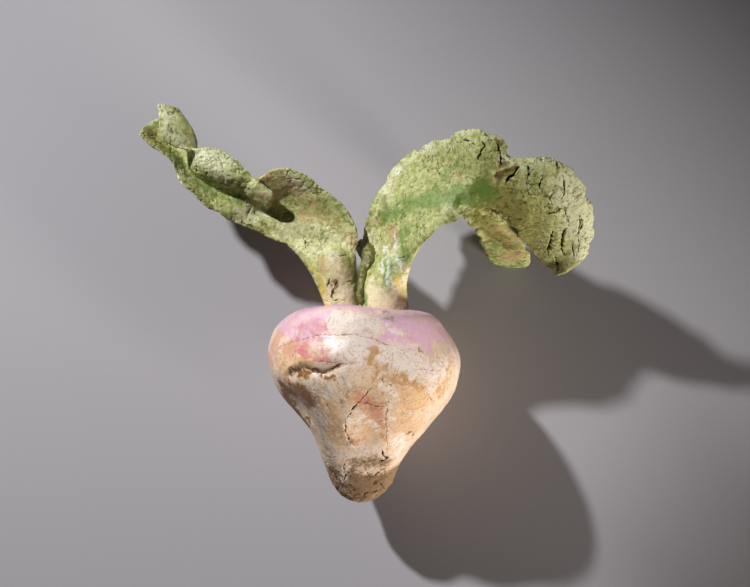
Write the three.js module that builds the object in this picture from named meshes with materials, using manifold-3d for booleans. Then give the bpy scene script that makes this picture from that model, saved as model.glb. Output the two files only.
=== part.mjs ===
// A life-size turnip modelled by hand in clay, glazed and fired, lying on its side.
// Three pieces: the root with its stubby tap root, and two leaves on short stalks.
// Millimetres. +Z is up, +Y runs from the root tip to the leaves, and the origin is the
// middle of the small flat spot under the belly on which the root rests.
import * as THREE from 'three';
import Module from 'manifold-3d';

const wasm = await Module();
wasm.setup();

// Driving dimensions of the root
const rootRadius = 48.5;
const rootLength = 102;
const crownDepth = 28;
const rootDip = THREE.MathUtils.degToRad(13);
const rootYaw = THREE.MathUtils.degToRad(-2);
const bellyHeight = 45.7;
const bellyOffset = 8;
const crownDish = 6;
const crownLean = 0.24; // how far the crown's face is turned back from square to the axis
const crownBulge = 2.2; // how far the top left of the crown leans out over the stalks

// Driving dimensions of the leaves
const stalkThickness = 11;
const bladeThickness = 3;
const brokenEndThickness = 5;
const ruffleHeight = 0.6;
const seatGap = 0.3;

// Facets
const rootRings = 30;
const rootSides = 52;
const leafStepsAcross = 10;
const leafStepsPerStation = 2;

const TAU = 2 * Math.PI;
const bump = (x, centre, spread) => Math.exp(-(((x - centre) / spread) ** 2));
const ease = (x, from, to) => THREE.MathUtils.smoothstep((x - from) / (to - from), 0, 1);
const angleFrom = (angle, centre) => Math.atan2(Math.sin(angle - centre), Math.cos(angle - centre));

// A closed skin from rings of points, capped at both ends, turned so that its faces point out.
function skin(rings, startCap, endCap) {
  const points = rings.flat();
  const count = rings[0].length;
  const triangles = [...startCap(0)];
  for (let ring = 0; ring < rings.length - 1; ring++) {
    for (let side = 0; side < count; side++) {
      const a = ring * count + side;
      const b = ring * count + ((side + 1) % count);
      triangles.push([a, b, b + count], [a, b + count, a + count]);
    }
  }
  triangles.push(...endCap((rings.length - 1) * count));
  let volume = 0;
  for (const [a, b, c] of triangles) {
    volume += points[a].dot(new THREE.Vector3().crossVectors(points[b], points[c]));
  }
  return solid(points, volume > 0 ? triangles : triangles.map(([a, b, c]) => [a, c, b]));
}

function solid(points, triangles) {
  return new wasm.Manifold(new wasm.Mesh({
    numProp: 3,
    vertProperties: new Float32Array(points.flatMap((point) => point.toArray())),
    triVerts: new Uint32Array(triangles.flat()),
  }));
}

// THREE's own closed shapes, such as a box or a sphere, as solids with their corners merged.
function solidFrom(geometry) {
  const place = geometry.attributes.position;
  const keys = new Map();
  const points = [];
  const corner = [];
  for (let i = 0; i < place.count; i++) {
    const point = new THREE.Vector3().fromBufferAttribute(place, i);
    const key = point.toArray().map((value) => Math.round(value * 1e4)).join();
    if (!keys.has(key)) {
      keys.set(key, points.length);
      points.push(point);
    }
    corner.push(keys.get(key));
  }
  const triangles = [];
  for (let i = 0; i < geometry.index.count; i += 3) {
    const [a, b, c] = [0, 1, 2].map((step) => corner[geometry.index.getX(i + step)]);
    if (a !== b && b !== c && c !== a) triangles.push([a, b, c]);
  }
  return solid(points, triangles);
}

// The root. Its outline is turned about an axis that dips towards the tip, and is then
// pushed in and out by hand, as clay is: [distance along the axis, radius], where 0 along
// the axis is the widest place and the crown is on the negative side.
const rootTip = rootLength - crownDepth;
const rootOutline = [
  [crownDish - crownDepth, 0],
  [crownDish - 1 - crownDepth, 13],
  [1 - crownDepth, 26],
  [3 - crownDepth, 36.5],
  [-19, 44],
  [-10, 47.7],
  [0, rootRadius],
  [8, 46.8],
  [17, 42.8],
  [26, 37],
  [34, 31],
  [42, 25.5],
  [50, 21],
  [56, 18],
  [rootTip - 12, 15],
  [rootTip - 7, 13],
  [rootTip - 2, 8.5],
  [rootTip, 0],
];

const tipward = new THREE.Vector3(
  Math.sin(rootYaw) * Math.cos(rootDip),
  -Math.cos(rootYaw) * Math.cos(rootDip),
  -Math.sin(rootDip),
);
const sideways = new THREE.Vector3(Math.cos(rootYaw), Math.sin(rootYaw), 0);
const upward = new THREE.Vector3().crossVectors(tipward, sideways);
const rootCentre = new THREE.Vector3(0, -bellyOffset, bellyHeight);

// How far the hand-pressed surface stands off the turned outline. The angle round the axis is
// 0 on top and a quarter turn on the right.
function rootRelief(along, angle) {
  const onTop = bump(angleFrom(angle, 0), 0, 0.55);
  const onLeft = bump(angleFrom(angle, -TAU / 4), 0, 0.75);
  const onRight = bump(angleFrom(angle, TAU / 4), 0, 0.75);
  const waist = -4.2 * bump(along, 33, 9) * onLeft;
  const slopingShoulder = -6 * bump(along, -18, 8) * bump(angleFrom(angle, 1.2), 0, 0.8);
  const roundedShoulder = -1.6 * bump(along, -20, 7) * bump(angleFrom(angle, -1.2), 0, 0.7);
  const lowBelly = 1.6 * bump(along, 14, 10) * onRight;
  const hollow = -2.6 * bump(along, 29, 13) * bump(angleFrom(angle, 0.05), 0, 0.38);
  const hollowRim = 1.1 * bump(along, 34, 14) * bump(angleFrom(angle, -0.62), 0, 0.2);
  const brownDent = -2.4 * bump(along, 20, 7) * bump(angleFrom(angle, -0.95), 0, 0.3);
  const overlap = 1.3 * ease(along, 9, 4) * ease(along, -30, -5) * bump(angleFrom(angle, -0.55), 0, 0.5);
  const crownHump = 1.8 * bump(along, -26, 5) * bump(angleFrom(angle, -0.3), 0, 0.5);
  const flank = -1.2 * bump(along, 52, 12) * onTop;
  const roundedBack = -5 * bump(along, -27, 8) * bump(angleFrom(angle, Math.PI), 0, 1);
  const tipKnob = 2 * bump(along, 61, 4.5) * bump(angleFrom(angle, 1.4), 0, 0.6);
  const fingerMarks = 0.5 * Math.sin(3 * angle + 0.09 * along) + 0.35 * Math.sin(5 * angle - 0.17 * along);
  const swell = fingerMarks * ease(along, -28, -12) * ease(along, rootTip, rootTip - 14);
  const shoulders = slopingShoulder + roundedShoulder + crownHump + roundedBack;
  const dents = waist + hollow + hollowRim + brownDent + flank;
  return shoulders + dents + overlap + lowBelly + tipKnob + swell;
}

// The root's skin, grown evenly by a clearance where a leaf has to keep clear of it.
function rootSolid(clearance = 0) {
  const outline = new THREE.CatmullRomCurve3(
    rootOutline.map(([along, radius]) => new THREE.Vector3(along, radius, 0)),
    false,
    'centripetal',
  );
  const rings = [];
  for (let ring = 1; ring < rootRings; ring++) {
    const place = outline.getPointAt(ring / rootRings);
    const slope = outline.getTangentAt(ring / rootRings);
    const points = [];
    for (let side = 0; side < rootSides; side++) {
      const angle = (side / rootSides) * TAU;
      const relief = rootRelief(place.x, angle) * ease(place.y, 0, 12);
      const radius = place.y + relief + clearance * slope.x;
      const rise = Math.cos(angle);
      const topHump = crownBulge * bump(angleFrom(angle, -0.35), 0, 0.5);
      const lean = (crownLean * radius * rise + topHump) * ease(place.x, -6, -24);
      points.push(
        rootCentre.clone()
          .addScaledVector(tipward, place.x - clearance * slope.y - lean)
          .addScaledVector(sideways, radius * Math.sin(angle))
          .addScaledVector(upward, radius * rise),
      );
    }
    rings.push(points);
  }
  const crownCentre = rootCentre.clone().addScaledVector(tipward, rootOutline[0][0] - clearance);
  const tipCentre = rootCentre.clone().addScaledVector(tipward, rootTip + clearance);
  rings.unshift(rings[0].map((point) => crownCentre.clone().lerp(point, 0.02)));
  rings.push(rings[rings.length - 1].map((point) => tipCentre.clone().lerp(point, 0.02)));
  const fan = (turn) => (first) => {
    const triangles = [];
    for (let side = 1; side < rootSides - 1; side++) {
      const [b, c] = turn ? [side + 1, side] : [side, side + 1];
      triangles.push([first, first + b, first + c]);
    }
    return triangles;
  };
  return skin(rings, fan(true), fan(false));
}

// A leaf is a sheet of clay laid through stations from the crown to the end of the blade.
// Each station holds four points across: left edge, left of the rib, right of the rib, right edge.
const leftStations = [
  [[-18, 12, 51], [-13, 12, 53], [-9, 12, 53], [-4, 12, 51]],
  [[-20, 22, 50], [-15, 22, 53], [-9, 22, 54], [-4, 22, 52]],
  [[-26, 35, 47], [-19, 36, 52], [-11, 36, 54], [-4, 33, 52]],
  [[-33, 44, 45], [-24, 46, 49], [-12, 46, 51], [-4, 45, 53]],
  [[-39, 50, 42], [-30, 53, 44], [-15, 54, 48], [-3, 53, 54]],
  [[-47, 53, 40], [-35, 62, 38], [-19, 66, 46], [-5, 62, 54]],
  [[-55, 57, 40], [-43, 67, 36], [-25, 74, 47], [-11, 71, 54]],
  [[-61, 59, 41], [-50, 69, 35], [-33, 79, 47], [-21, 79, 55]],
  [[-66, 61, 43], [-56, 71, 38], [-43, 81, 47], [-35, 88.5, 55]],
  [[-70, 63, 45], [-61, 73, 40], [-51, 80, 45], [-47, 88, 52]],
  [[-74, 66, 47], [-67, 75, 40], [-58, 80, 47], [-51, 83, 50]],
  [[-79, 69, 49], [-73, 77, 40], [-65, 82, 51], [-55, 84, 52]],
  [[-84, 73, 50], [-78, 80, 41], [-71, 85, 53], [-61, 90, 51]],
  [[-88, 77, 51], [-83, 83, 42], [-77, 88, 54], [-68, 96, 51]],
  [[-92, 81, 52], [-88, 87, 44], [-82, 92, 53], [-76, 100, 52]],
  [[-95, 88, 52], [-91, 92, 44], [-85, 96, 50], [-87, 98, 55]],
  [[-99, 94, 55], [-95, 99, 43], [-84, 102, 50], [-101, 101, 60]],
  [[-106, 99, 56], [-103, 105, 44], [-87, 109, 52], [-103, 111, 62]],
  [[-114, 106, 55], [-108, 112, 46], [-94, 118, 53], [-103, 121, 61]],
];
const rightStations = [
  [[-1.8, 13, 49], [4, 11, 55], [14, 11, 55], [20, 13, 49]],
  [[-1.8, 21, 48], [4, 20, 57], [14, 20, 58], [21, 20, 51]],
  [[-1.8, 30, 45], [4, 31, 55], [13, 30, 61], [21, 30, 59]],
  [[-1.6, 40, 42], [5, 40, 50], [14, 39, 63], [23, 40, 68]],
  [[-1.4, 50, 42], [7, 50, 49], [18, 49, 68], [28, 49, 80]],
  [[-0.6, 60, 43], [10, 60, 51], [22, 57, 70], [33, 54, 86]],
  [[2.5, 70, 43], [15, 69, 52], [27, 64, 72], [38, 58, 88]],
  [[8, 80, 40], [20, 78, 52], [32, 71, 73], [42, 60, 88]],
  [[13, 89, 36], [26, 85, 53], [37, 76, 74], [46, 61, 86]],
  [[21, 96, 40], [33, 91, 58], [42, 79, 78], [48, 62, 85]],
  [[33, 102, 57], [41, 92, 70], [48, 79, 83], [52, 66, 84]],
  [[45, 106, 80], [50, 94, 87], [55, 80, 88], [57, 67, 82]],
  [[57, 106, 96], [59, 93, 95], [61, 78, 90], [63, 65, 80]],
  [[66, 102, 101], [67, 91, 96], [68, 75, 89], [68, 62, 77]],
  [[71, 94, 97], [73, 83, 94], [73, 70, 86], [72, 58, 73]],
  [[77, 91, 98], [79, 80, 95], [78, 66, 84], [76, 54, 66]],
  [[85, 94, 102], [86, 81, 98], [84, 64, 81], [81, 49, 53]],
  [[94, 92, 101], [93, 78, 96], [89, 60, 78], [87, 43, 39]],
  [[103, 85, 94], [100, 71, 90], [95, 54, 71], [91.5, 40, 38]],
  [[111, 72, 83], [105, 63, 82], [99, 49, 63], [93.5, 38, 37]],
  [[114, 59, 71], [108, 53, 70], [102, 44, 56], [95.5, 36, 38]],
  [[112, 49, 59], [108, 43, 55], [103, 38, 48], [97.5, 34.5, 41]],
];

// The right leaf's hanging lobe, from the fold under the arch down to its hem on the surface.
const lobeStations = [
  [[45, 68, 80], [55, 71, 83], [66, 69, 81], [76, 60, 66]],
  [[49, 61, 77], [57, 62, 74], [68, 60, 67], [80, 51, 50]],
  [[54, 58, 63], [60, 57, 58], [71, 53, 50], [84, 46, 35]],
  [[57, 53, 46], [63, 51, 40], [73, 47, 32], [85, 43, 22]],
  [[61, 47, 22], [66, 45, 17], [75, 43, 13], [85, 41, 11]],
  [[66, 42, 4], [70, 41, 1], [76, 40, 0], [82, 40, 3]],
];

// The left leaf's fold, a lobe that laps over the pleat halfway along the blade.
const foldStations = [
  [[-66, 90, 51.5], [-65, 86, 51.5], [-63, 81, 49], [-60, 76, 44]],
  [[-58, 85.5, 52], [-57, 81, 52], [-56, 77, 49], [-54, 71, 43.5]],
  [[-51, 81, 51.5], [-51, 77, 51], [-51, 73.5, 48.5], [-50.5, 69.5, 43.5]],
  [[-45, 76, 50], [-45.5, 74, 49.5], [-46.5, 71.5, 47.5], [-48, 69, 44]],
];

// How thick the clay is at a place on a leaf: a round stalk, then a thin blade, and where the
// right blade is torn off a thick lip.
function clayThickness(station, stalkStations, brokenFrom) {
  const stalk = ease(station, stalkStations, stalkStations - 2.5);
  const broken = ease(station, brokenFrom, brokenFrom + 2);
  const blade = bladeThickness + (brokenEndThickness - bladeThickness) * broken;
  return blade + (stalkThickness - blade) * stalk;
}

function leafSolid(stations, stalkStations, brokenFrom) {
  const columns = [0, 1, 2, 3].map((column) => new THREE.CatmullRomCurve3(
    stations.map((station) => new THREE.Vector3(...station[column])),
    false,
    'catmullrom',
  ));
  const middle = (u, v) => new THREE.CatmullRomCurve3(
    columns.map((column) => column.getPoint(THREE.MathUtils.clamp(u, 0, 1))),
    false,
    'catmullrom',
  ).getPoint(THREE.MathUtils.clamp(v, 0, 1));
  const steps = (stations.length - 1) * leafStepsPerStation;
  const rings = [];
  for (let step = 0; step <= steps; step++) {
    const u = step / steps;
    const station = u * (stations.length - 1);
    const thickness = clayThickness(station, stalkStations, brokenFrom);
    const round = ease(station, stalkStations, stalkStations - 2.5);
    const upper = [];
    const lower = [];
    for (let across = 0; across <= leafStepsAcross; across++) {
      const v = across / leafStepsAcross;
      const edge = Math.abs(2 * v - 1);
      const along = middle(u + 0.004, v).sub(middle(u - 0.004, v));
      const over = middle(u, v + 0.02).sub(middle(u, v - 0.02));
      const normal = over.cross(along).normalize();
      const fullness = 0.28 + 0.72 * (1 - edge ** (8 - 6 * round)) ** 0.6;
      const ruffle = ruffleHeight * edge ** 3 * (1 - round) * Math.sin(2.1 * station + 2 * v);
      const point = middle(u, v).addScaledVector(normal, ruffle);
      upper.push(point.clone().addScaledVector(normal, (thickness * fullness) / 2));
      lower.unshift(point.clone().addScaledVector(normal, (-thickness * fullness) / 2));
    }
    rings.push([...upper, ...lower]);
  }
  const count = 2 * (leafStepsAcross + 1);
  const cap = (turn) => (first) => {
    const triangles = [];
    for (let across = 0; across < leafStepsAcross; across++) {
      const a = first + across;
      const b = a + 1;
      const c = first + count - 1 - across;
      const d = c - 1;
      triangles.push(...(turn ? [[a, c, b], [b, c, d]] : [[a, b, c], [b, d, c]]));
    }
    return triangles;
  };
  return skin(rings, cap(true), cap(false));
}

// A pressed-on lump of clay, such as the rounded end of a stalk.
function lump(centre, radii, turn) {
  const ball = new THREE.SphereGeometry(1, 20, 12);
  ball.scale(...radii);
  ball.rotateZ(turn);
  ball.translate(...centre);
  return solidFrom(ball);
}

// Trimming can leave a stray scrap behind, so only the largest body of a piece is kept.
function largestBody(piece) {
  return piece.decompose().sort((a, b) => b.volume() - a.volume())[0];
}

function meshOf(name, piece, material) {
  const { vertProperties, triVerts } = piece.getMesh();
  const geometry = new THREE.BufferGeometry();
  geometry.setAttribute('position', new THREE.BufferAttribute(vertProperties, 3));
  geometry.setIndex(new THREE.BufferAttribute(triVerts, 1));
  geometry.computeVertexNormals();
  const mesh = new THREE.Mesh(geometry, material);
  mesh.name = name;
  return mesh;
}

// Glazed, fired clay: white root with a mauve crown, and pale green leaves.
const rootGlaze = new THREE.MeshStandardMaterial({ color: '#cdb7a0', roughness: 0.45, metalness: 0 });
const leafGlaze = new THREE.MeshStandardMaterial({ color: '#9ba268', roughness: 0.55, metalness: 0 });

const ground = solidFrom(new THREE.BoxGeometry(400, 400, 40).translate(0, 0, -20));
const root = rootSolid().subtract(ground);
const rootClearance = rootSolid(seatGap);

const leftLeaf = leafSolid(leftStations, 4.5, 99)
  .add(leafSolid(foldStations, -3, 99))
  .add(lump([-14, 36, 52.5], [9.5, 15, 8.5], 0.12))
  .subtract(rootClearance);
const rightLeaf = leafSolid(rightStations, 4.5, 19)
  .add(leafSolid(lobeStations, -3, 99))
  .add(lump([3, 42, 42], [3.2, 7, 5], 0))
  .subtract(rootClearance)
  .subtract(ground);

const turnip = new THREE.Group();
turnip.add(
  meshOf('root', largestBody(root), rootGlaze),
  meshOf('left_leaf', largestBody(leftLeaf), leafGlaze),
  meshOf('right_leaf', largestBody(rightLeaf), leafGlaze),
);

export default turnip;
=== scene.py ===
# %% [markdown]
# # A glazed clay turnip, seen from above
# A potter pressed this turnip by hand: a stubby white root with a mauve crown, and two crackled
# green leaves on short stalks, glazed and fired in one. The solids of the construction already
# hold its form. This lesson gives them the skin of fired clay: finer faces, cracks that are cut
# into the surface, pressed dents, and glazes that run, crawl and pool.

# %% Load the frame
import math

import bmesh
import bpy
import numpy as np
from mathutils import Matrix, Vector, kdtree, noise
from mathutils.bvhtree import BVHTree


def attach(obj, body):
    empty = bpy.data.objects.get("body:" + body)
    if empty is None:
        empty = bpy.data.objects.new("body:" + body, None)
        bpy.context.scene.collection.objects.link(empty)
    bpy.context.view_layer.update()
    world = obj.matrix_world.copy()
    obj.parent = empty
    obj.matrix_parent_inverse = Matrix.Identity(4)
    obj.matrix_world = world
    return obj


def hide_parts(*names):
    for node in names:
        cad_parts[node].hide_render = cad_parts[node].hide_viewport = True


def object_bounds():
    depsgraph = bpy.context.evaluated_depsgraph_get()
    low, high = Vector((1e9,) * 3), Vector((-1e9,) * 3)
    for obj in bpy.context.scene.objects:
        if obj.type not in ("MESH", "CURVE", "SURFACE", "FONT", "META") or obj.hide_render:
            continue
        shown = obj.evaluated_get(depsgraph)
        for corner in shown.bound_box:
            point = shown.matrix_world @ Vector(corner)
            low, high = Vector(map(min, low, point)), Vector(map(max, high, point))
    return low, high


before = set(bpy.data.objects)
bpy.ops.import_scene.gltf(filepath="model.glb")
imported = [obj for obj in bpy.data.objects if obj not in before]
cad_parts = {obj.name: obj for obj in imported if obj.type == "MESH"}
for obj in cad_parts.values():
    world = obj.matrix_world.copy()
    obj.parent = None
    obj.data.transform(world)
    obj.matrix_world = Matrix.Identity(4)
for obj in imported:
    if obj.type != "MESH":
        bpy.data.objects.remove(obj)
cad_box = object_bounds()
print("nodes:", sorted(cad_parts))

# %% [markdown]
# ## The camera comes first
# The turnip lies on a grey sheet and the camera looks straight down on it from 1.35 m, as on a
# copy stand. Marks of the glaze are placed by where they show in that view, so the camera's
# height, its spot over the sheet and the size of a picture point are named once, here.

# %% Camera
MM = 0.001
PICTURE = (750, 587)
PICTURE_POINT = 0.52 * MM
CAMERA_SPOT = Vector((5.2 * MM, 25.8 * MM, 1352 * MM))

camera = bpy.data.objects.new("camera", bpy.data.cameras.new("camera"))
camera.location = CAMERA_SPOT
camera.data.lens = camera.data.sensor_width * CAMERA_SPOT.z / (PICTURE[0] * PICTURE_POINT)
bpy.context.scene.collection.objects.link(camera)
bpy.context.scene.camera = camera
print(f"lens {camera.data.lens:.1f} mm, looking straight down")


def on_sheet(x, y):
    """Where a picture point lies on the sheet."""
    right, up = (x - PICTURE[0] / 2) * PICTURE_POINT, (PICTURE[1] / 2 - y) * PICTURE_POINT
    return Vector((CAMERA_SPOT.x + right, CAMERA_SPOT.y + up, 0))


def on_clay(surface, x, y):
    """Where the camera's ray through a picture point meets a surface."""
    ground = on_sheet(x, y)
    ray = (ground - CAMERA_SPOT).normalized()
    spot = surface.ray_cast(CAMERA_SPOT, ray)[0]
    if spot is None:
        spot = surface.find_nearest(ground + Vector((0, 0, 50 * MM)))[0]
    return spot


# %% [markdown]
# ## From facets to a clay skin
# The construction's solids have facets a few millimetres wide. Clay has none, so each one is
# copied, its corners are merged, and it is rounded by a subdivision surface. A voxel remesh then
# gives it small faces of one even size. Sculpting by hand could do the rest; here formulas press
# the surface, because they can be read and changed.

# %% Skin helpers
MERGE = 0.01 * MM


def bake(piece):
    """Applies a piece's modifiers to its mesh."""
    shaped = piece.evaluated_get(bpy.context.evaluated_depsgraph_get())
    mesh = bpy.data.meshes.new_from_object(shaped)
    piece.modifiers.clear()
    piece.data = mesh


def clay_skin(node, name, face, passes):
    """A rounded copy of a node of the frame, in faces of one size."""
    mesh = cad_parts[node].data.copy()
    clay = bmesh.new()
    clay.from_mesh(mesh)
    bmesh.ops.remove_doubles(clay, verts=clay.verts, dist=MERGE)
    clay.to_mesh(mesh)
    clay.free()
    mesh.materials.clear()
    piece = bpy.data.objects.new(name, mesh)
    bpy.context.scene.collection.objects.link(piece)
    rounding = piece.modifiers.new("rounding", "SUBSURF")
    rounding.levels = rounding.render_levels = 2
    even = piece.modifiers.new("even faces", "REMESH")
    even.mode = "VOXEL"
    even.voxel_size = face
    settle = piece.modifiers.new("settle", "SMOOTH")
    settle.factor = 0.5
    settle.iterations = passes
    bake(piece)
    print(name, len(piece.data.polygons), "faces")
    return piece


def tree_of(piece):
    return BVHTree.FromObject(piece, bpy.context.evaluated_depsgraph_get())


def points_of(piece, what="co"):
    """All corners of a piece (in mm) or their normals, as an array."""
    values = np.zeros(len(piece.data.vertices) * 3)
    piece.data.vertices.foreach_get(what, values)
    return values.reshape(-1, 3) / (MM if what == "co" else 1)


def press(piece, depth_mm):
    """Moves each corner out along its normal by a depth in mm, but never out of the solids' box."""
    moved = (points_of(piece) + points_of(piece, "normal") * depth_mm[:, None]) * MM
    piece.data.vertices.foreach_set("co", np.clip(moved, cad_box[0], cad_box[1]).ravel())
    piece.data.update()


def keep(piece, name, values):
    """Stores a value for each corner, which the materials read as a mask."""
    mask = piece.data.attributes.new(name, "FLOAT", "POINT")
    mask.data.foreach_set("value", np.clip(values, 0, 1).astype(np.float32))


# %% [markdown]
# ## Clay noise
# Pressed clay is uneven at every size, from the swell of a palm to the grain of grog. Smooth
# noise gives the swells, and a pattern of cells gives the way in which dried clay tears: along
# the lines where two cells meet. The seed is set, so each run gives the same clay.

# %% Noise helpers
NOISE_SEED = 7
noise.seed_set(NOISE_SEED)


def swell(points, size, shift=0.0, octaves=1):
    """Smooth noise, about -1 to 1, with waves of a size in mm."""
    spots = (points / size + shift).tolist()
    if octaves == 1:
        return np.array([noise.noise(spot) for spot in spots])
    return np.array([noise.fractal(spot, 0.8, 2.1, octaves) for spot in spots])


def ramp(x, start, end):
    """0 at start, 1 at end, with soft ends."""
    t = np.clip((x - start) / (end - start), 0, 1)
    return t * t * (3 - 2 * t)


def tears(points, cell, shift=0.0):
    """How far a point is from the nearest tear, in mm, where tears outline cells of a size."""
    bend = np.array([noise.noise_vector(spot) for spot in (points / (cell * 0.7)).tolist()])
    spots = (points / cell + 0.22 * bend + shift).tolist()
    near = np.array([noise.voronoi(spot)[0][:2] for spot in spots])
    return (near[:, 1] - near[:, 0]) * cell / 2


def waver(points, reach):
    """Points moved about by noise, so that whatever is laid by them gets an uneven edge."""
    wide = np.array([noise.noise_vector(spot) for spot in (points / 6).tolist()])
    fine = np.array([noise.noise_vector(spot) for spot in (points / 1.9).tolist()])
    return points + reach * (wide + 0.45 * fine)


def brush(points, surface, strokes):
    """Soft strokes: radius in mm, strength, then the picture points that a stroke runs through."""
    total = np.zeros(len(points))
    for radius, strength, path in strokes:
        placed = [np.array(on_clay(surface, x, y)) / MM for x, y in path]
        for a, b in zip(placed, placed[1:] + placed[-1:]):
            span = b - a
            part = np.clip((points - a) @ span / max(span @ span, 1e-6), 0, 1)
            away = np.linalg.norm(points - a - part[:, None] * span, axis=1)
            total = np.maximum(total, strength * np.exp(-((away / radius) ** 2)))
    return total


# %% [markdown]
# ## Cracks
# A crack is a line on the clay that opens in its middle and closes at its ends. Each one is
# written as a few picture points. They are set down on the clay, joined by a line that wanders a
# little as a tear does, and the faces beside it are cut finer before it is pressed in. An open
# crack is dark; one that the glaze has filled shows only as a brown line.

# %% Crack helpers
CRACK_STEP = 0.25
CRACK_WANDER = 0.75
CUT_REACH = 1.1


def lay_cracks(surface, cracks):
    """Spots along the cracks in metres, with half width and depth in mm and darkness at each."""
    spots, kinds = [], []
    for half_width, depth, dark, path in cracks:
        placed = [on_clay(surface, x, y) / MM for x, y in path]
        for first, (a, b) in enumerate(zip(placed, placed[1:])):
            steps = max(2, round((b - a).length / CRACK_STEP))
            for step in range(steps):
                part = (first + step / steps) / (len(placed) - 1)
                spot = a.lerp(b, step / steps)
                spot += CRACK_WANDER * noise.noise_vector(spot / 2.2)
                spots.append(surface.find_nearest(spot * MM)[0])
                taper = 0.3 + 0.7 * math.sin(math.pi * part) ** 0.5
                taper *= max(0.2, 0.85 + 1.1 * noise.noise(spot / 2.1))
                kinds.append((half_width * taper, depth * taper, dark))
    return spots, np.array(kinds)


def cut_cracks(piece, cracks, cuts=1):
    """Cuts the faces beside the cracks finer. Returns each corner's nearness, depth and darkness."""
    spots, kinds = lay_cracks(tree_of(piece), cracks)
    lookup = kdtree.KDTree(len(spots))
    for index, spot in enumerate(spots):
        lookup.insert(spot, index)
    lookup.balance()
    clay = bmesh.new()
    clay.from_mesh(piece.data)
    beside = {corner for corner in clay.verts if lookup.find(corner.co)[2] < CUT_REACH * MM}
    edges = [edge for edge in clay.edges if beside.issuperset(edge.verts)]
    bmesh.ops.subdivide_edges(clay, edges=edges, cuts=cuts, use_grid_fill=True)
    bmesh.ops.triangulate(clay, faces=[face for face in clay.faces if len(face.verts) > 4])
    clay.to_mesh(piece.data)
    clay.free()
    found = [lookup.find(corner.co) for corner in piece.data.vertices]
    width, depth, dark = kinds[[index for _, index, _ in found]].T
    away = np.array([distance for _, _, distance in found]) / MM
    inside = 1 - ramp(away, 0.15 * width, 1.3 * width)
    print(piece.name, "cracks:", len(cracks), "corners inside:", int((inside > 0.5).sum()))
    return inside, depth * inside, dark * inside


# %% [markdown]
# ## The root
# The root was pressed from slabs, so a thin seam crosses its shoulder, one layer laps over another
# below it, and a thumb left an oval hollow in its face. Brown lies in its dents and under the lap,
# partly slip and partly painted shade. The crown carries a mauve stain under a glossy glaze, and
# the tip is rough and bare. Positions along the root are measured on its own axis, from its widest
# place towards the tip.

# %% Root places
AXIS_DIP = math.radians(13)
AXIS_YAW = math.radians(-2)
ROOT_CENTRE = np.array([0, -8, 45.7])
TIPWARD = np.array([
    math.sin(AXIS_YAW) * math.cos(AXIS_DIP),
    -math.cos(AXIS_YAW) * math.cos(AXIS_DIP),
    -math.sin(AXIS_DIP),
])
TIP_STARTS = 52
ROOT_WAVER = 4.5
ROOT_FACE = 0.69 * MM
ROOT_PASSES = 7

# half width and depth in mm, darkness, then the picture points that it runs through
SHOULDER_SEAM = [
    (270, 354), (277, 349), (284, 345), (296, 341), (312, 337), (327, 335), (340, 335),
    (356, 335), (368, 337), (378, 341), (386, 344), (396, 347), (410, 352), (424, 357),
]
LAP = [
    (287, 377), (296, 371), (305, 368), (313, 372), (322, 374), (330, 372), (336, 367), (344, 364),
    (352, 364),
]
ROOT_CRACKS = [
    (0.34, 0.16, 0.0, SHOULDER_SEAM),
    (0.35, 0.3, 0.5, [(331, 314), (329, 319), (328, 323)]),
    # The lap's line is drawn brown and a little dark: painted shade under its lip.
    (0.35, 0.3, 0.25, LAP),
    (0.28, 0.2, 0.0, [(309, 362), (320, 361), (332, 362), (342, 362), (350, 363)]),
    (0.35, 0.4, 0.1, [(279, 357), (283, 364), (288, 369)]),
    (0.3, 0.3, 0.1, [(296, 345), (297, 356), (296, 366)]),
    (0.35, 0.4, 0.75, [(373, 386), (369, 391), (364, 398), (357, 404)]),
    (0.45, 0.7, 0.9, [(357, 404), (352, 410), (350, 415)]),
    (0.4, 0.6, 0.2, [(350, 412), (345, 420), (345, 431), (350, 441), (358, 449)]),
    (0.35, 0.2, 0.1, [(384, 397), (387, 408), (386, 420), (386, 432), (387, 444), (387, 455)]),
    (0.5, 0.4, 0.05, [(361, 404), (368, 405), (376, 407), (384, 407)]),
    (0.35, 0.3, 0.05, [(381, 376), (383, 381), (391, 386), (400, 389), (407, 389)]),
    (0.3, 0.3, 0.1, [(436, 355), (443, 362), (447, 371), (448, 381), (444, 390)]),
    (0.25, 0.2, 0.1, [(407, 368), (418, 369), (432, 370), (446, 371)]),
    (0.3, 0.3, 0.05, [(423, 388), (429, 395), (434, 403)]),
    (0.35, 0.4, 0.2, [(319, 448), (323, 454), (330, 457), (338, 456)]),
    (0.5, 0.8, 1.0, [(381, 450), (383, 455), (387, 458), (384, 461), (378, 461)]),
    (0.5, 0.9, 1.0, [(374, 475), (380, 471), (387, 468)]),
    (0.4, 0.6, 0.7, [(363, 466), (366, 471), (367, 476), (374, 475)]),
    (0.6, 0.8, 0.35, [(320, 450), (325, 460), (332, 472), (340, 484), (347, 493), (356, 498)]),
    (0.4, 0.7, 0.9, [(380, 483), (383, 487), (385, 491)]),
    (0.35, 0.6, 0.2, [(346, 459), (343, 466), (345, 476), (342, 486), (347, 494)]),
    (0.35, 0.4, 0.3, [(350, 496), (360, 493), (372, 492), (382, 491)]),
    (0.35, 0.3, 0.05, [(309, 388), (318, 394), (326, 402), (331, 412)]),
]
print(len(ROOT_CRACKS), "cracks for the root")

# %% [markdown]
# ## Pressing the root
# Each mark is a depth in mm at every corner, and their sum moves the corners in one go. The palm
# leaves its swell, the seam a ridge, and the lap a lip with a groove below. The brush leaves
# tracks, the thumb a hollow with a raised edge, and the tip is pitted.

# %% Root skin
SEAM_RIDGE, CROWN_DENT, LAP_LIP, LAP_GROOVE = 2.0, 0.8, 0.8, 1.1
HOLLOW_DEPTH, HOLLOW_RISE, DENT_DEPTH, TRACK_DEPTH = 1.0, 0.5, 0.6, 0.16

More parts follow.
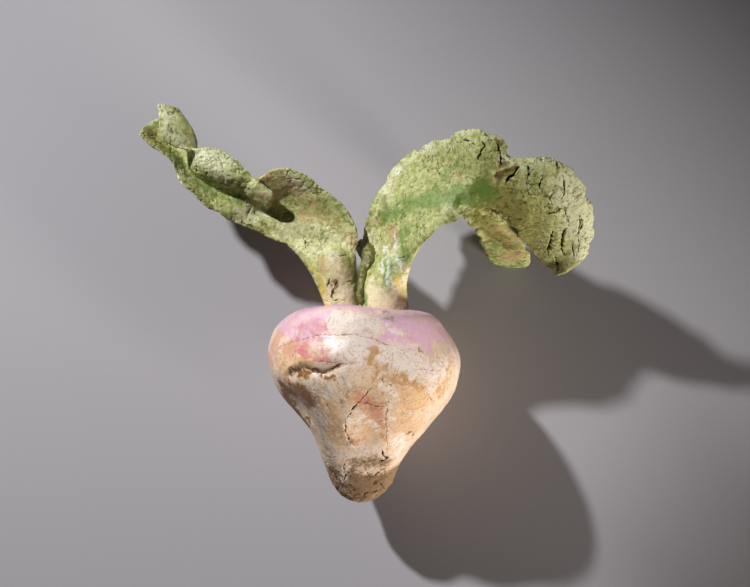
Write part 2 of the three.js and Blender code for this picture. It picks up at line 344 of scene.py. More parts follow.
root = clay_skin("root", "root_clay", ROOT_FACE, ROOT_PASSES)
root_form = tree_of(root)
in_crack, crack_depth, crack_dark = cut_cracks(root, ROOT_CRACKS)
points = points_of(root)
normals = points_of(root, "normal")
along = (points - ROOT_CENTRE) @ TIPWARD

palm = 0.6 * swell(points, 24, 3) + 0.4 * swell(points, 10, 7) + 0.12 * swell(points, 4, 8)
shoulder = SEAM_RIDGE * brush(points, root_form, [(6, 1, [(302, 358), (318, 354), (345, 354)])])
shoulder -= CROWN_DENT * brush(points, root_form, [(8, 1, [(340, 325)])])
lip = LAP_LIP * brush(points, root_form, [(3.2, 1, [(290, 369), (304, 362), (320, 364), (334, 361)])])
grain = 0.05 * swell(points, 1.3, 17, 3)
tip = ramp(along + 5 * swell(points, 9, 5), TIP_STARTS - 5, TIP_STARTS + 5)
tip = np.maximum(tip, brush(points, root_form, [(5, 0.7, [(356, 463), (372, 461), (384, 463)])]))
pits = ramp(-swell(points, 1.3, 9, 2), 0.25, 0.6) * ramp(swell(points, 6, 9), -0.4, 0.2)
streak = brush(points, root_form, [(3, 0.9, [(338, 456), (342, 468), (343, 480)])])
rough_tip = tip * (0.5 * swell(points, 3.6, 13, 3) - 0.5 * pits - 0.2)
brushed = brush(points, root_form, [
    (9, 1, [(285, 378), (312, 386), (330, 400)]), (9, 1, [(318, 400), (328, 425), (330, 450)]),
    (7, 1, [(345, 375), (350, 392)]), (5, 1, [(335, 455), (345, 475)]),
])
bristles = swell(points * [1, 0.25, 1] + points[:, [1]] * [0.3, 0, 0], 2.2, 11, 2)
hollow = brush(points, root_form, [(7, 1, [(368, 396), (366, 410), (366, 436)])])
groove = brush(points, root_form, [(2, 1, LAP)])
hollow_edge = brush(points, root_form, [(2.5, 1, [(349, 412), (344, 424), (345, 434), (352, 444)])])
dents = brush(points, root_form, [(6, 1, [(288, 390), (298, 402), (304, 414)]), (4, 0.5, [(408, 434)])])
tracks = TRACK_DEPTH * bristles * brushed
press(root, palm + shoulder + lip + grain + rough_tip + tracks - HOLLOW_DEPTH * hollow
      + HOLLOW_RISE * hollow_edge - DENT_DEPTH * dents - LAP_GROOVE * groove - crack_depth)

# %% [markdown]
# ## Where the root's colours lie
# Each stain is a mask: 1 where it lies, 0 where it doesn't. The mauve follows the crown, so it
# starts from the distance along the axis and goes all the way round. The others are brush strokes
# set down where they show. Each is a radius in mm, a strength, and the picture points it runs
# through. Where the glaze is worn or thin the clay is matt, so that has strokes as well.

# %% Root strokes
MATT_STROKES = [
    (9, 0.8, [(330, 314), (350, 318), (376, 322)]), (8, 0.7, [(330, 400), (326, 440)]),
    (11, 1, [(284, 390), (300, 414)]),
]
ROOT_STROKES = {
    "mauve": [
        (5, 1, [(300, 316), (320, 307)]), (5, 0.9, [(308, 326), (322, 318)]),
        (5, 0.7, [(286, 324), (300, 312)]),
        (4, 0.8, [(340, 305), (368, 305)]), (5, 1, [(390, 322), (410, 324), (430, 330)]),
        (5, 1, [(388, 334), (404, 340), (425, 342)]), (5, 0.9, [(428, 320), (440, 332), (446, 340)]),
        (3.5, 0.8, [(447, 342), (454, 352)]), (3, 0.6, [(362, 341), (384, 345)]),
        (3, 0.5, [(374, 328), (380, 338)]),
        (1.2, 0.9, [(346, 312)]), (1.2, 0.9, [(359, 313)]), (1.2, 0.8, [(338, 323)]),
        (2, 0.6, [(410, 318), (424, 316)]),
    ],
    "rose": [
        (5, 0.9, [(299, 330), (312, 328), (322, 330)]), (4, 0.8, [(302, 350), (316, 348)]),
        (5, 0.9, [(318, 354), (332, 356)]), (4, 0.5, [(290, 338), (300, 334)]),
    ],
    "peach": [
        (6, 1, [(272, 344), (282, 330), (292, 320)]), (6, 0.9, [(290, 348), (304, 346)]),
        (5, 0.8, [(268, 362), (276, 352)]), (4, 0.7, [(310, 354), (314, 360)]),
        (4, 0.6, [(298, 362), (306, 357)]),
        (5, 0.7, [(267, 376), (272, 390), (282, 404)]), (5, 1, [(364, 398), (374, 406), (374, 418)]),
        (3, 0.8, [(352, 434), (360, 438)]),
    ],
    "cream": [
        (6, 1, [(332, 320), (350, 322), (372, 324)]), (6, 1, [(338, 345), (352, 346), (366, 350)]),
        (5, 0.9, [(340, 354), (362, 356)]), (2.6, 1, [(390, 327), (397, 330)]),
        (2.6, 1, [(399, 336), (406, 338)]),
        (6, 1, [(384, 352), (402, 356), (420, 361)]), (5, 1, [(400, 364), (424, 368), (444, 372)]),
        (4, 0.8, [(452, 352), (456, 368), (455, 384)]), (4, 0.8, [(430, 362), (444, 362)]),
        (3, 0.9, [(384, 386), (392, 390), (392, 398)]), (3, 0.9, [(390, 404), (389, 420)]),
        (3, 0.9, [(390, 440), (402, 444), (396, 454)]),
        (3, 0.8, [(356, 410), (355, 420), (366, 426), (378, 427)]),
        (2, 1, [(380, 371), (382, 376)]),
    ],
    "tan": [
        (9, 1, [(396, 396), (412, 402), (424, 400)]), (9, 1, [(398, 420), (412, 428)]),
        (7, 1, [(280, 362), (292, 358), (306, 366)]), (6, 0.9, [(436, 392), (444, 384)]),
        (8, 0.9, [(362, 396), (372, 410), (370, 436)]), (6, 0.8, [(376, 356), (376, 384)]),
        (6, 0.8, [(332, 404), (336, 424), (338, 440)]),
    ],
    "ochre": [
        (2.6, 1, [(375, 352), (374, 362), (375, 376)]), (2.8, 1, [(384, 366), (388, 376), (392, 381)]),
        (2.8, 1, [(394, 378), (404, 379)]), (2.8, 1, [(412, 382), (416, 388), (420, 392)]),
        (2.6, 0.8, [(436, 388), (442, 396)]), (2, 0.6, [(378, 392), (382, 404)]),
        (2, 0.5, [(364, 404), (372, 405)]), (2, 1, [(382, 424), (383, 436), (384, 448)]),
        (2.2, 0.7, [(404, 414), (412, 408), (422, 406)]), (2, 0.6, [(404, 422), (414, 424)]),
        (3, 0.7, [(352, 436), (358, 442)]), (3, 0.6, [(300, 360), (312, 356)]),
        (3, 0.8, [(284, 376), (292, 384)]),
        (2, 0.8, [(448, 366), (452, 376)]), (2.5, 0.6, [(278, 366), (282, 374)]),
    ],
    "umber": [
        # The first strokes fill the dent on the left flank and the groove under the lap: partly brown
        # slip, partly painted shade.
        (7, 1, [(284, 388), (298, 393), (308, 400)]), (7, 1, [(286, 397), (294, 409), (303, 420)]),
        (2.4, 0.9, [(303, 402), (307, 412), (309, 421)]),
        (2.4, 0.9, [(292, 374), (304, 370), (314, 374), (328, 375)]),
        (1.6, 0.6, [(334, 370), (342, 366)]), (2, 0.8, [(402, 434), (410, 433), (413, 437)]),
        (1.2, 0.7, [(418, 350), (426, 352)]), (1.4, 0.7, [(347, 430), (350, 438), (355, 443)]),
        (1.2, 0.6, [(386, 402), (387, 416), (384, 422)]), (1.2, 0.7, [(362, 404), (374, 405)]),
        (1.6, 0.6, [(322, 450), (330, 457)]), (1.5, 0.5, [(270, 378), (278, 388)]),
        (1.6, 0.9, [(324, 462), (334, 476), (344, 488)]), (1.2, 0.5, [(352, 390), (346, 400), (342, 410)]),
    ],
    "moss": [(1.8, 0.9, [(386, 316), (398, 318)]), (1.2, 0.5, [(402, 314)])],
    "ash": [
        (2.4, 0.6, [(290, 380), (304, 382), (314, 386)]), (3.5, 1, [(312, 380), (324, 390), (330, 396)]),
        (3.5, 1, [(312, 404), (317, 414), (322, 424)]), (3.5, 0.9, [(322, 436), (330, 446), (336, 452)]),
        (3.5, 1, [(337, 460), (344, 470), (347, 480)]), (3.2, 1, [(342, 456), (356, 454), (370, 452)]),
        (3, 0.8, [(340, 372), (350, 380), (354, 388)]),
        (3, 0.9, [(420, 382), (434, 386)]), (1.8, 1, [(430, 390), (427, 402)]),
        (2, 0.8, [(404, 417), (410, 416)]),
        (1.8, 0.7, [(408, 424), (418, 424)]), (3, 0.7, [(376, 448), (384, 453)]),
        (3, 0.6, [(312, 366), (330, 367)]),
        (2, 0.8, [(384, 370), (390, 367)]), (2.5, 0.6, [(355, 385), (368, 380)]),
    ],
}
print("root stains:", ", ".join(ROOT_STROKES))

# %% [markdown]
# ## From strokes to masks
# Noise carries each kind of stain round to the sides that the camera doesn't see. The crown's
# cream strokes cover its mauve, and a wavering edge keeps every stroke from looking like tape.

# %% Root masks
unseen = ramp(-normals[:, 2], -0.45, 0.2)
below_crown = ramp(along, -6, 12) * (1 - tip)
crown = ramp(-along + 3 * swell(points, 12, 25), 12, 19)
all_round = {
    "mauve": crown * (0.55 + 0.45 * unseen),
    "peach": unseen * ramp(-along, -6, 10) * 0.7 * ramp(swell(points, 16, 33), -0.2, 0.3),
    "cream": unseen * below_crown * ramp(swell(points, 15, 35), 0, 0.35),
    "tan": unseen * below_crown * ramp(swell(points, 17, 37), -0.35, 0.1),
    "ochre": unseen * below_crown * 0.9 * ramp(swell(points, 11, 39, 2), 0, 0.4),
    "umber": unseen * below_crown * 0.9 * ramp(swell(points, 13, 41, 2), 0.2, 0.55),
    "ash": unseen * below_crown * 0.8 * ramp(swell(points, 12, 43), 0.05, 0.4),
}
wavering = waver(points, ROOT_WAVER)
covered = {name: brush(wavering, root_form, strokes) for name, strokes in ROOT_STROKES.items()}
all_round["mauve"] = all_round["mauve"] * (1 - 0.8 * covered["cream"])
for name, mask in covered.items():
    keep(root, name, np.maximum(mask, all_round.get(name, 0)))
keep(root, "bristles", brushed * ramp(bristles, -0.2, 0.4))
keep(root, "bare", tip * (1 - streak))
keep(root, "pits", tip * pits)
keep(root, "matt", np.maximum(tip, brush(wavering, root_form, MATT_STROKES)))
keep(root, "line", in_crack - crack_dark)
keep(root, "crack", crack_dark)
print("root coloured,", len(points), "corners")

# %% [markdown]
# ## The leaves' surface
# The leaves were torn from a thin slab that was already drying, so bending it opened cracks. The
# large ones are cut one by one, and are listed here as the root's are.

# %% Leaf cracks
RIGHT_CRACKS = [
    (0.45, 1.0, 1, [(458, 135), (464, 140), (472, 142), (475, 146)]),
    (0.5, 1.1, 1, [(482, 140), (484, 147), (480, 152), (477, 161)]),
    (0.3, 0.6, 1, [(468, 151), (470, 156), (473, 160)]),
    (0.35, 0.7, 1, [(486, 131), (487, 137), (491, 139)]),
    (0.7, 1.4, 0.8, [(497, 143), (499, 150), (500, 157), (502, 166)]),
    (1.0, 1.8, 0.8, [(518, 167), (514, 174), (507, 179), (505, 187)]),
    (0.5, 1.1, 1, [(524, 161), (528, 168), (528, 177), (527, 186)]),
    (0.5, 1.1, 1, [(545, 177), (540, 181), (539, 189)]),
    (0.45, 0.9, 0.8, [(437, 158), (436, 168), (440, 176)]),
    (0.3, 0.5, 0.7, [(440, 147), (439, 153)]),
    (0.35, 0.7, 1, [(459, 161), (457, 168)]),
    (0.3, 0.5, 0.7, [(413, 186), (410, 193)]),
    (0.3, 0.5, 0.8, [(464, 175), (472, 181)]),
    (0.4, 0.8, 1, [(545, 216), (552, 213), (557, 212), (561, 207)]),
    (0.75, 1.6, 1, [(552, 230), (551, 240), (547, 250), (548, 257)]),
    (0.75, 1.6, 1, [(566, 228), (562, 238), (561, 252), (565, 257)]),
    (0.4, 0.9, 0.8, [(537, 244), (542, 250), (546, 256)]),
    (0.9, 1.9, 1, [(553, 255), (557, 263), (557, 273)]),
    (0.4, 0.8, 1, [(557, 161), (558, 168)]),
    (0.3, 0.7, 1, [(562, 192), (563, 200)]),
    (0.35, 0.8, 1, [(566, 215), (569, 224)]),
    (0.4, 0.8, 0.8, [(580, 216), (583, 224), (580, 230)]),
    (0.35, 0.7, 0.9, [(577, 234), (579, 247), (576, 256)]),
    (0.35, 0.7, 0.8, [(572, 262), (580, 262), (585, 258)]),
    (0.35, 0.7, 0.8, [(491, 257), (497, 257), (502, 255)]),
    (0.3, 0.6, 0.8, [(493, 262), (498, 264)]),
    (0.3, 0.6, 0.8, [(514, 256), (520, 252)]),
    (0.3, 0.6, 0.9, [(533, 196), (540, 203), (545, 210)]),
    (0.3, 0.5, 0.7, [(423, 163), (425, 170)]),
    (0.3, 0.6, 0.9, [(506, 192), (512, 197)]),
    (0.3, 0.5, 0.6, [(397, 259), (405, 257)]),
    (0.4, 0.9, 1, [(563, 174), (565, 187), (562, 200)]),
    (0.4, 0.9, 1, [(565, 209), (567, 223)]),
    (0.4, 0.9, 0.9, [(572, 242), (573, 257)]),
    (0.4, 0.8, 0.9, [(579, 212), (580, 224), (577, 236)]),
    (0.35, 0.8, 0.9, [(527, 160), (530, 173), (526, 183), (529, 194)]),
    (0.3, 0.7, 0.9, [(497, 146), (491, 152), (492, 158)]),
    (0.3, 0.6, 0.8, [(448, 143), (452, 150)]),
    (0.3, 0.6, 0.8, [(554, 190), (550, 199), (553, 206)]),
]
LEFT_CRACKS = [
    (0.45, 0.8, 1, [(303, 234), (305, 243), (307, 254)]),
    (0.35, 0.6, 0.9, [(299, 233), (305, 236), (309, 238)]),
    (0.35, 0.6, 0.9, [(206, 178), (207, 171)]),
    (0.35, 0.6, 0.9, [(288, 169), (287, 175)]),
    (0.6, 0.9, 0.6, [(190, 150), (194, 160), (198, 172), (203, 184)]),
    (0.35, 0.5, 0.4, [(163, 143), (172, 150), (180, 160), (188, 178)]),
    (0.5, 0.7, 0.9, [(241, 221), (248, 225), (255, 227)]),
    (0.6, 0.9, 0.7, [(330, 279), (328, 285), (326, 292)]),
    (0.6, 0.9, 0.7, [(338, 281), (334, 289), (331, 297), (334, 299)]),
    (0.35, 0.5, 0.4, [(346, 282), (350, 282), (355, 283)]),
    (0.35, 0.6, 0.6, [(337, 254), (343, 256), (350, 252)]),
    (0.3, 0.4, 0.2, [(322, 300), (333, 301), (346, 300)]),
    (0.3, 0.5, 0.7, [(276, 214), (270, 217)]),
]
print(len(RIGHT_CRACKS), "cracks for the right leaf and", len(LEFT_CRACKS), "for the left")

# %% [markdown]
# ## Tearing the leaves
# Finer tears follow the edges of cells, and come and go over the blade. The slab's edges crumbled
# as it bent, so they are drawn back unevenly. They are found by looking through the clay: on a
# blade's face the way through is as short as the blade is thin, and on its edge it is long. The
# stalks' ends are sunk into the root, as they are where clay is pressed onto clay.

# %% Leaf skins
BLADE = 3.0
CRUMBLE_REACH = 6
SEAT_REACH = 1.5 * MM
SEAT_DEPTH = 1.2 * MM
STALK_ENDS = 48
LEAF_WAVER = 4
LEAF_PASSES = 3
RIGHT_FACE, RIGHT_CRUMBLE = 0.625 * MM, 1.9
LEFT_FACE, LEFT_CRUMBLE = 0.46 * MM, 0.9


def rims(piece, places):
    """1 on the edges of a blade, where the way through the clay is long, and 0 on its faces."""
    surface = tree_of(piece)
    through = []
    for corner in piece.data.vertices:
        inward = -corner.normal
        through.append(surface.ray_cast(corner.co + inward * MERGE, inward)[3] or 0)
    on_blade = ramp(places[:, 1], STALK_ENDS - 8, STALK_ENDS + 4)
    return ramp(np.array(through) / MM, 1.3 * BLADE, 2 * BLADE) * on_blade


def crumble(piece, places, rim, most):
    """Draws a blade's edge back by an uneven depth, up to about most mm, with the clay beside it."""
    depth = most * (ramp(swell(places, 9, 61), -0.1, 0.4) + 0.3 * ramp(swell(places, 3.6, 63), -0.1, 0.4))
    edge = np.flatnonzero(rim > 0.7)
    lookup = kdtree.KDTree(len(edge))
    for number, corner in enumerate(edge):
        lookup.insert(places[corner], number)
    lookup.balance()
    found = [lookup.find(place) for place in places]
    nearest = edge[[number for _, number, _ in found]]
    near = 1 - ramp(np.array([away for _, _, away in found]), 0, CRUMBLE_REACH)
    moved = places - points_of(piece, "normal")[nearest] * (depth * near)[:, None]
    piece.data.vertices.foreach_set("co", (moved * MM).ravel())
    piece.data.update()


def leaf_skin(node, name, cracks, face, most):
    """A leaf's skin with its cracks, tears, crumbled edges and seat; keeps the masks of them."""
    piece = clay_skin(node, name, face, LEAF_PASSES)
    inside, depth, dark = cut_cracks(piece, cracks)
    places = points_of(piece)
    rim = rims(piece, places)
    crumble(piece, places, rim, most)
    torn = ramp(swell(places, 14, 41), -0.3, 0.3) * ramp(places[:, 1], STALK_ENDS - 12, STALK_ENDS + 6)
    tear = (1 - ramp(tears(places, 2.6, 2), 0.06, 0.34)) * torn * ramp(swell(places, 2.5, 53), -0.05, 0.25)
    grog = 0.10 * swell(places, 1.1, 47, 2)
    lumps = 0.35 * swell(places, 8, 43) + 0.2 * swell(places, 3, 45)
    press(piece, lumps + grog - 0.35 * tear - depth - 0.4 * rim * ramp(swell(places, 1.5, 65), 0, 0.4))
    for corner in piece.data.vertices:
        spot, out, _, _ = root_form.find_nearest(corner.co, SEAT_REACH)
        if spot is not None:
            corner.co -= out * SEAT_DEPTH
    keep(piece, "crack", dark)
    keep(piece, "line", inside - dark)
    keep(piece, "tear", tear)
    keep(piece, "rim", rim)
    return piece


right_leaf = leaf_skin("right_leaf", "right_leaf_clay", RIGHT_CRACKS, RIGHT_FACE, RIGHT_CRUMBLE)
left_leaf = leaf_skin("left_leaf", "left_leaf_clay", LEFT_CRACKS, LEFT_FACE, LEFT_CRUMBLE)

# %% [markdown]
# ## Where the leaves' colours lie
# The same pale green glaze covers both leaves. Green and olive were washed over it with a wide
# brush, the clay shows beige where the glaze ran thin, and the stalks are cream with yellow dabs.
# Olive, some green and one rust stroke also paint shade in hollows, creases and under the arch,
# some pale paints light on the right lobe, and two white dabs are painted highlights.
# Where the glaze lies thick it didn't crawl: the mask called smooth fades the crackle there.

# %% Right leaf's strokes
RIGHT_STROKES = {
    "green": [
        (7, 0.9, [(386, 216), (400, 210), (426, 200), (452, 197)]),
        (7, 1, [(440, 200), (464, 197), (484, 190)]),
        (5, 0.6, [(444, 176), (452, 166), (462, 160)]), (5, 0.8, [(406, 233), (404, 256), (398, 272)]),
        (4, 0.8, [(390, 262), (388, 276), (389, 288)]), (5, 0.5, [(418, 224), (412, 240)]),
        (4, 0.6, [(372, 210), (366, 226), (364, 244)]), (3, 0.9, [(484, 246), (487, 258), (496, 264)]),
        (3, 0.9, [(500, 266), (514, 266), (526, 261)]), (4, 0.5, [(546, 196), (556, 190)]),
        (3, 0.8, [(362, 288), (364, 300)]), (4, 0.4, [(520, 226), (530, 236)]),
    ],
    "olive": [
        # Much of the olive is painted shade: on the saddle under the top rim, on the lobe under the arch
        # and in the hollow between the stalks; the rest is olive glaze.
        (8, 0.9, [(484, 190), (500, 204), (514, 216)]), (8, 0.9, [(500, 190), (516, 204), (524, 222)]),
        (7, 1, [(512, 214), (524, 230), (530, 246)]), (5, 0.6, [(486, 160), (492, 176)]),
        (3.5, 0.9, [(383, 200), (385, 212), (383, 222)]), (5, 0.9, [(366, 250), (370, 262)]),
        (5, 0.8, [(470, 210), (486, 206), (500, 212)]), (4, 0.6, [(456, 216), (440, 224), (430, 234)]),
        (5, 0.5, [(530, 206), (540, 224)]), (7, 1, [(480, 220), (496, 234), (508, 246)]),
        (4, 0.5, [(376, 226), (374, 240)]),
    ],
    "clay": [
        (5, 0.6, [(500, 228), (514, 240)]),
        (6, 1, [(494, 256), (508, 258), (518, 254)]), (4, 0.7, [(452, 178), (458, 180)]),
        (4, 0.7, [(368, 218), (378, 222)]), (5, 0.8, [(392, 230), (396, 238)]),
        (4, 0.6, [(384, 184), (392, 178)]),
        (3, 0.7, [(486, 236), (490, 248)]),
    ],
    "pale": [
        # The strokes on the right lobe's right side are partly paler glaze and partly painted light from
        # the right.
        (8, 0.8, [(560, 160), (574, 176), (584, 196)]), (11, 1, [(566, 186), (576, 210), (584, 230)]),
        (7, 0.9, [(588, 228), (584, 246), (578, 256)]), (6, 0.8, [(420, 150), (432, 142), (444, 136)]),
        (6, 0.8, [(398, 168), (388, 180), (384, 192)]), (5, 0.7, [(404, 162), (418, 152)]),
        (6, 0.5, [(450, 136), (470, 130), (490, 132)]), (5, 0.6, [(524, 170), (540, 164), (552, 162)]),
        (5, 0.6, [(370, 236), (376, 248)]), (5, 0.9, [(394, 252), (398, 270), (394, 286)]),
        (4, 0.8, [(506, 158), (512, 164)]),
    ],
    "white": [
        (1.6, 0.8, [(396, 256), (398, 270)]), (1.3, 0.8, [(391, 262), (388, 282)]),
        # These two dabs on the top rim are painted highlights.
        (1.6, 0.9, [(440, 138), (447, 134)]), (1.4, 0.8, [(412, 150), (418, 147)]),
        (1.3, 1, [(384, 248), (387, 256)]),
        (1.5, 1, [(383, 258), (382, 274)]), (1.2, 0.8, [(387, 272), (390, 288)]),
        (2.6, 0.7, [(394, 236), (398, 246)]),
        (1.8, 0.6, [(396, 170), (402, 168)]), (1.2, 0.6, [(392, 280), (394, 290)]),
    ],
    "straw": [
        (5, 0.9, [(372, 286), (370, 302)]), (6, 1, [(382, 294), (384, 306)]),
        (6, 1, [(396, 288), (400, 304)]), (4, 0.8, [(404, 268), (404, 282)]),
    ],
    "yellow": [
        (1.5, 1, [(397, 272), (399, 286)]), (2, 0.7, [(403, 288), (405, 302)]), (1.2, 0.7, [(372, 288)]),
        (1.5, 0.6, [(398, 292), (402, 300)]),
    ],
    "smooth": [
        (8, 1, [(372, 292), (400, 300)]), (6, 0.9, [(394, 250), (398, 276)]),
        (7, 0.7, [(420, 206), (456, 200)]), (7, 0.8, [(496, 232), (512, 244)]),
        (8, 0.5, [(480, 200), (506, 206)]),
    ],
    "rust": [
        # The first stroke darkens the lobe under the arch as painted shade; the small ones are brown
        # stains.
        (6, 0.5, [(488, 234), (500, 243), (510, 250)]), (1.8, 0.8, [(497, 140), (501, 144)]),
        (2, 0.9, [(500, 155), (503, 162)]), (2.4, 1, [(504, 176), (511, 172), (517, 168)]),
        (1.8, 0.9, [(556, 168), (560, 172)]), (2.2, 1, [(550, 179), (553, 181)]), (1.6, 0.6, [(556, 186)]),
        (1.8, 0.9, [(556, 260), (558, 264)]), (1.8, 0.7, [(581, 260), (584, 257)]),
        (1.4, 0.5, [(386, 208), (386, 214)]),
    ],
}
print("right leaf's stains:", ", ".join(RIGHT_STROKES))

# %% [markdown]
# ## The left leaf's stains
# The long leaf has the same stains. Green runs down its fold and olive lies in its trough and
# along its lower rim; both are partly glaze and partly painted shade there and under the rolled tip.

# %% Left leaf's strokes
LEFT_STROKES = {
    "green": [
        # Along the fold and at the rolled tip, green is partly painted shade.
        (2.6, 1, [(171, 154), (182, 161), (192, 174), (200, 184)]),
        (3.2, 1, [(200, 184), (213, 190), (228, 193), (240, 198)]),
        (3, 0.6, [(232, 168), (244, 178), (252, 184)]), (2.6, 0.8, [(150, 116), (156, 126)]),
        (3, 0.7, [(334, 200), (344, 214), (350, 226)]), (3, 0.6, [(264, 208), (270, 206)]),
        (3, 0.6, [(172, 122), (178, 132)]), (2.5, 0.6, [(358, 262), (360, 276)]),
    ],
    "olive": [
        # In the trough, along the lower rim and at the tip, olive is partly painted shade.
        (6, 0.5, [(288, 196), (302, 206), (316, 220)]), (7, 0.6, [(316, 206), (330, 220), (338, 236)]),
        (7, 0.7, [(292, 224), (306, 236), (326, 242)]), (4, 0.6, [(240, 186), (256, 196)]),
        (5, 0.9, [(140, 128), (152, 138), (162, 150)]), (3.5, 0.7, [(210, 212), (232, 226), (262, 234)]),
        (4, 0.7, [(266, 228), (286, 232)]), (4, 0.5, [(200, 200), (216, 214)]),
    ],
    "clay": [
        (4, 0.9, [(266, 178), (270, 186), (276, 192)]), (4, 0.8, [(272, 172), (282, 172)]),
        (3, 0.8, [(303, 214), (313, 216)]), (4, 0.9, [(345, 234), (352, 240), (354, 246)]),
        (4, 0.6, [(262, 196), (272, 200), (276, 206)]), (5, 0.7, [(286, 180), (300, 192), (312, 204)]),
        (5, 0.5, [(322, 218), (334, 226)]),
        (5, 0.8, [(322, 262), (324, 272)]), (6, 0.9, [(336, 262), (342, 280), (344, 298)]),
        (4, 0.5, [(134, 126), (140, 122)]),
    ],
    "pale": [
        (5, 0.9, [(160, 104), (168, 118), (176, 134)]), (5, 0.8, [(176, 134), (184, 146)]),
        (7, 1, [(200, 154), (212, 154), (224, 164)]), (4, 0.8, [(204, 168), (216, 174), (228, 180)]),
        (5, 0.9, [(242, 214), (252, 214), (262, 212)]),
        (5, 0.9, [(288, 178), (300, 186), (306, 192)]), (3, 0.8, [(176, 166), (180, 180), (188, 192)]),
        (4, 0.6, [(300, 246), (306, 254)]), (4, 0.7, [(262, 188), (272, 192)]),
    ],
    "white": [
        (3, 0.7, [(320, 252), (332, 250)]), (1.4, 0.6, [(156, 104), (160, 108)]), (1.1, 0.7, [(188, 190)]),
        (1, 0.7, [(151, 123)]), (1.6, 0.4, [(328, 258), (340, 258)]),
    ],
    "straw": [
        (7, 0.6, [(334, 262), (342, 276)]), (7, 0.8, [(344, 286), (346, 302)]),
        (5, 0.7, [(328, 284), (330, 300)]),
    ],
    "yellow": [
        (2.2, 0.8, [(310, 264), (318, 280), (324, 298)]), (1.4, 1, [(318, 276), (322, 288)]),
        (1.2, 0.9, [(324, 290), (328, 302)]),
        (1.1, 0.9, [(340, 301)]), (1.1, 0.9, [(347, 301)]), (1.1, 0.9, [(355, 300)]),
        (2, 0.5, [(240, 216), (250, 220)]),
        (1, 0.8, [(333, 290), (335, 294)]),
    ],
    "smooth": [
        (9, 1, [(326, 276), (344, 300)]), (9, 0.8, [(290, 186), (304, 202), (330, 226)]),
        (8, 0.8, [(276, 200), (290, 218), (316, 236)]), (7, 0.8, [(162, 108), (176, 132)]),
        (6, 0.6, [(244, 180), (268, 194)]), (8, 0.6, [(340, 232), (348, 250)]),
    ],
    "rust": [
        (1.8, 0.9, [(336, 282), (334, 290)]), (1.6, 0.8, [(329, 280), (328, 288)]),
        (1, 0.8, [(347, 282), (354, 282)]),
        (1.6, 0.7, [(332, 294), (334, 299)]), (1.2, 0.9, [(243, 222)]), (1, 0.7, [(275, 216)]),
        (2, 0.7, [(133, 127), (134, 133)]), (1.4, 0.5, [(322, 292), (324, 300)]),
    ],
}

for piece, strokes in ((right_leaf, RIGHT_STROKES), (left_leaf, LEFT_STROKES)):
    surface = tree_of(piece)
    points = waver(points_of(piece), LEAF_WAVER)
    for name, paths in strokes.items():
        keep(piece, name, brush(points, surface, paths))
    print(piece.name, "masks:", ", ".join(strokes))

# %% [markdown]
# ## Slip and shade between the stalks
# Where the two stalks meet, a smear of clay fills the gap. Its dark olive and darker mottle are
# painted shade of the hollow there, with patches of green glaze. A row of overlapping balls,
# joined by a voxel remesh and pressed like the rest, makes the smear.

# %% Slip and shade
# picture points, with the smear's radius in mm at each
SLIP_PATH = np.array([
    (358, 243, 2.4), (364, 247, 4), (370, 254, 5), (370, 262, 4), (364, 270, 2.2), (361, 284, 1.8),
    (361, 303, 2.2),
])
SLIP_STEPS = 8
SLIP_SUNK = 1.15
SLIP_SEAT = 6
SLIP_FACE = 0.5 * MM
SLIP_PASSES = 6

smear = bmesh.new()
right_form = tree_of(right_leaf)
for start, end in zip(SLIP_PATH, SLIP_PATH[1:]):
    for part in np.linspace(0, 1, SLIP_STEPS, endpoint=False):
        x, y, radius = start + part * (end - start)
        ball = bmesh.ops.create_icosphere(smear, subdivisions=3, radius=radius * MM)["verts"]
        side, top = on_clay(right_form, x, y), on_clay(right_form, x + SLIP_SEAT, y)
        bmesh.ops.translate(smear, verts=ball, vec=(side.x, top.y, top.z - SLIP_SUNK * radius * MM))
slip_mesh = bpy.data.meshes.new("slip_and_shade")
smear.to_mesh(slip_mesh)
smear.free()
slip_and_shade = bpy.data.objects.new("smear_and_hollow_shade", slip_mesh)
bpy.context.scene.collection.objects.link(slip_and_shade)
joined = slip_and_shade.modifiers.new("joined", "REMESH")
joined.mode = "VOXEL"
joined.voxel_size = SLIP_FACE
settle = slip_and_shade.modifiers.new("settle", "SMOOTH")
settle.iterations = SLIP_PASSES
bake(slip_and_shade)
points = points_of(slip_and_shade)
press(slip_and_shade, 0.7 * swell(points, 4, 71, 3) + 0.15 * swell(points, 1.1, 73, 2))
# Dark olive all over and a darker mottle in the tear mask: painted shade of the hollow between the stalks.
keep(slip_and_shade, "olive", 0.9 + 0 * points[:, 0])
keep(slip_and_shade, "green", 0.5 * ramp(swell(points, 5, 75), -0.2, 0.3))
keep(slip_and_shade, "tear", 0.9 * ramp(swell(points, 3, 79, 2), -0.3, 0.1))
keep(slip_and_shade, "rust", 0.4 * ramp(swell(points, 4, 77), 0, 0.4))
print("slip_and_shade", len(slip_and_shade.data.polygons), "faces")

# %% [markdown]
# ## Colours and nodes
# Colours are written as the hex values that a painter would pick, and one function turns them
# into the linear values that shaders mix. Another adds a node with its settings and its links,
# so that a material reads as a list of what lies on top of what.

# %% Material helpers
MIX_A, MIX_B, MIX_OUT = 6, 7, 2


def linear(code):
    """An sRGB hex colour as linear red, green, blue and alpha."""
    parts = [int(code[i:i + 2], 16) / 255 for i in (1, 3, 5)]
    return [p / 12.92 if p <= 0.04045 else ((p + 0.055) / 1.055) ** 2.4 for p in parts] + [1]


def add(tree, kind, sockets=None, **settings):
    """Adds a shader node; sockets holds values, or the outputs that its inputs take."""
    node = tree.nodes.new("ShaderNode" + kind)
    for name, value in settings.items():
        setattr(node, name, value)
    for socket, value in (sockets or {}).items():
        if isinstance(value, bpy.types.NodeSocket):
            tree.links.new(value, node.inputs[socket])
        else:
            node.inputs[socket].default_value = value
    return node


def per_metre(size_mm):
    """The scale of a pattern whose waves or cells are this wide."""
    return 1 / (size_mm * MM)


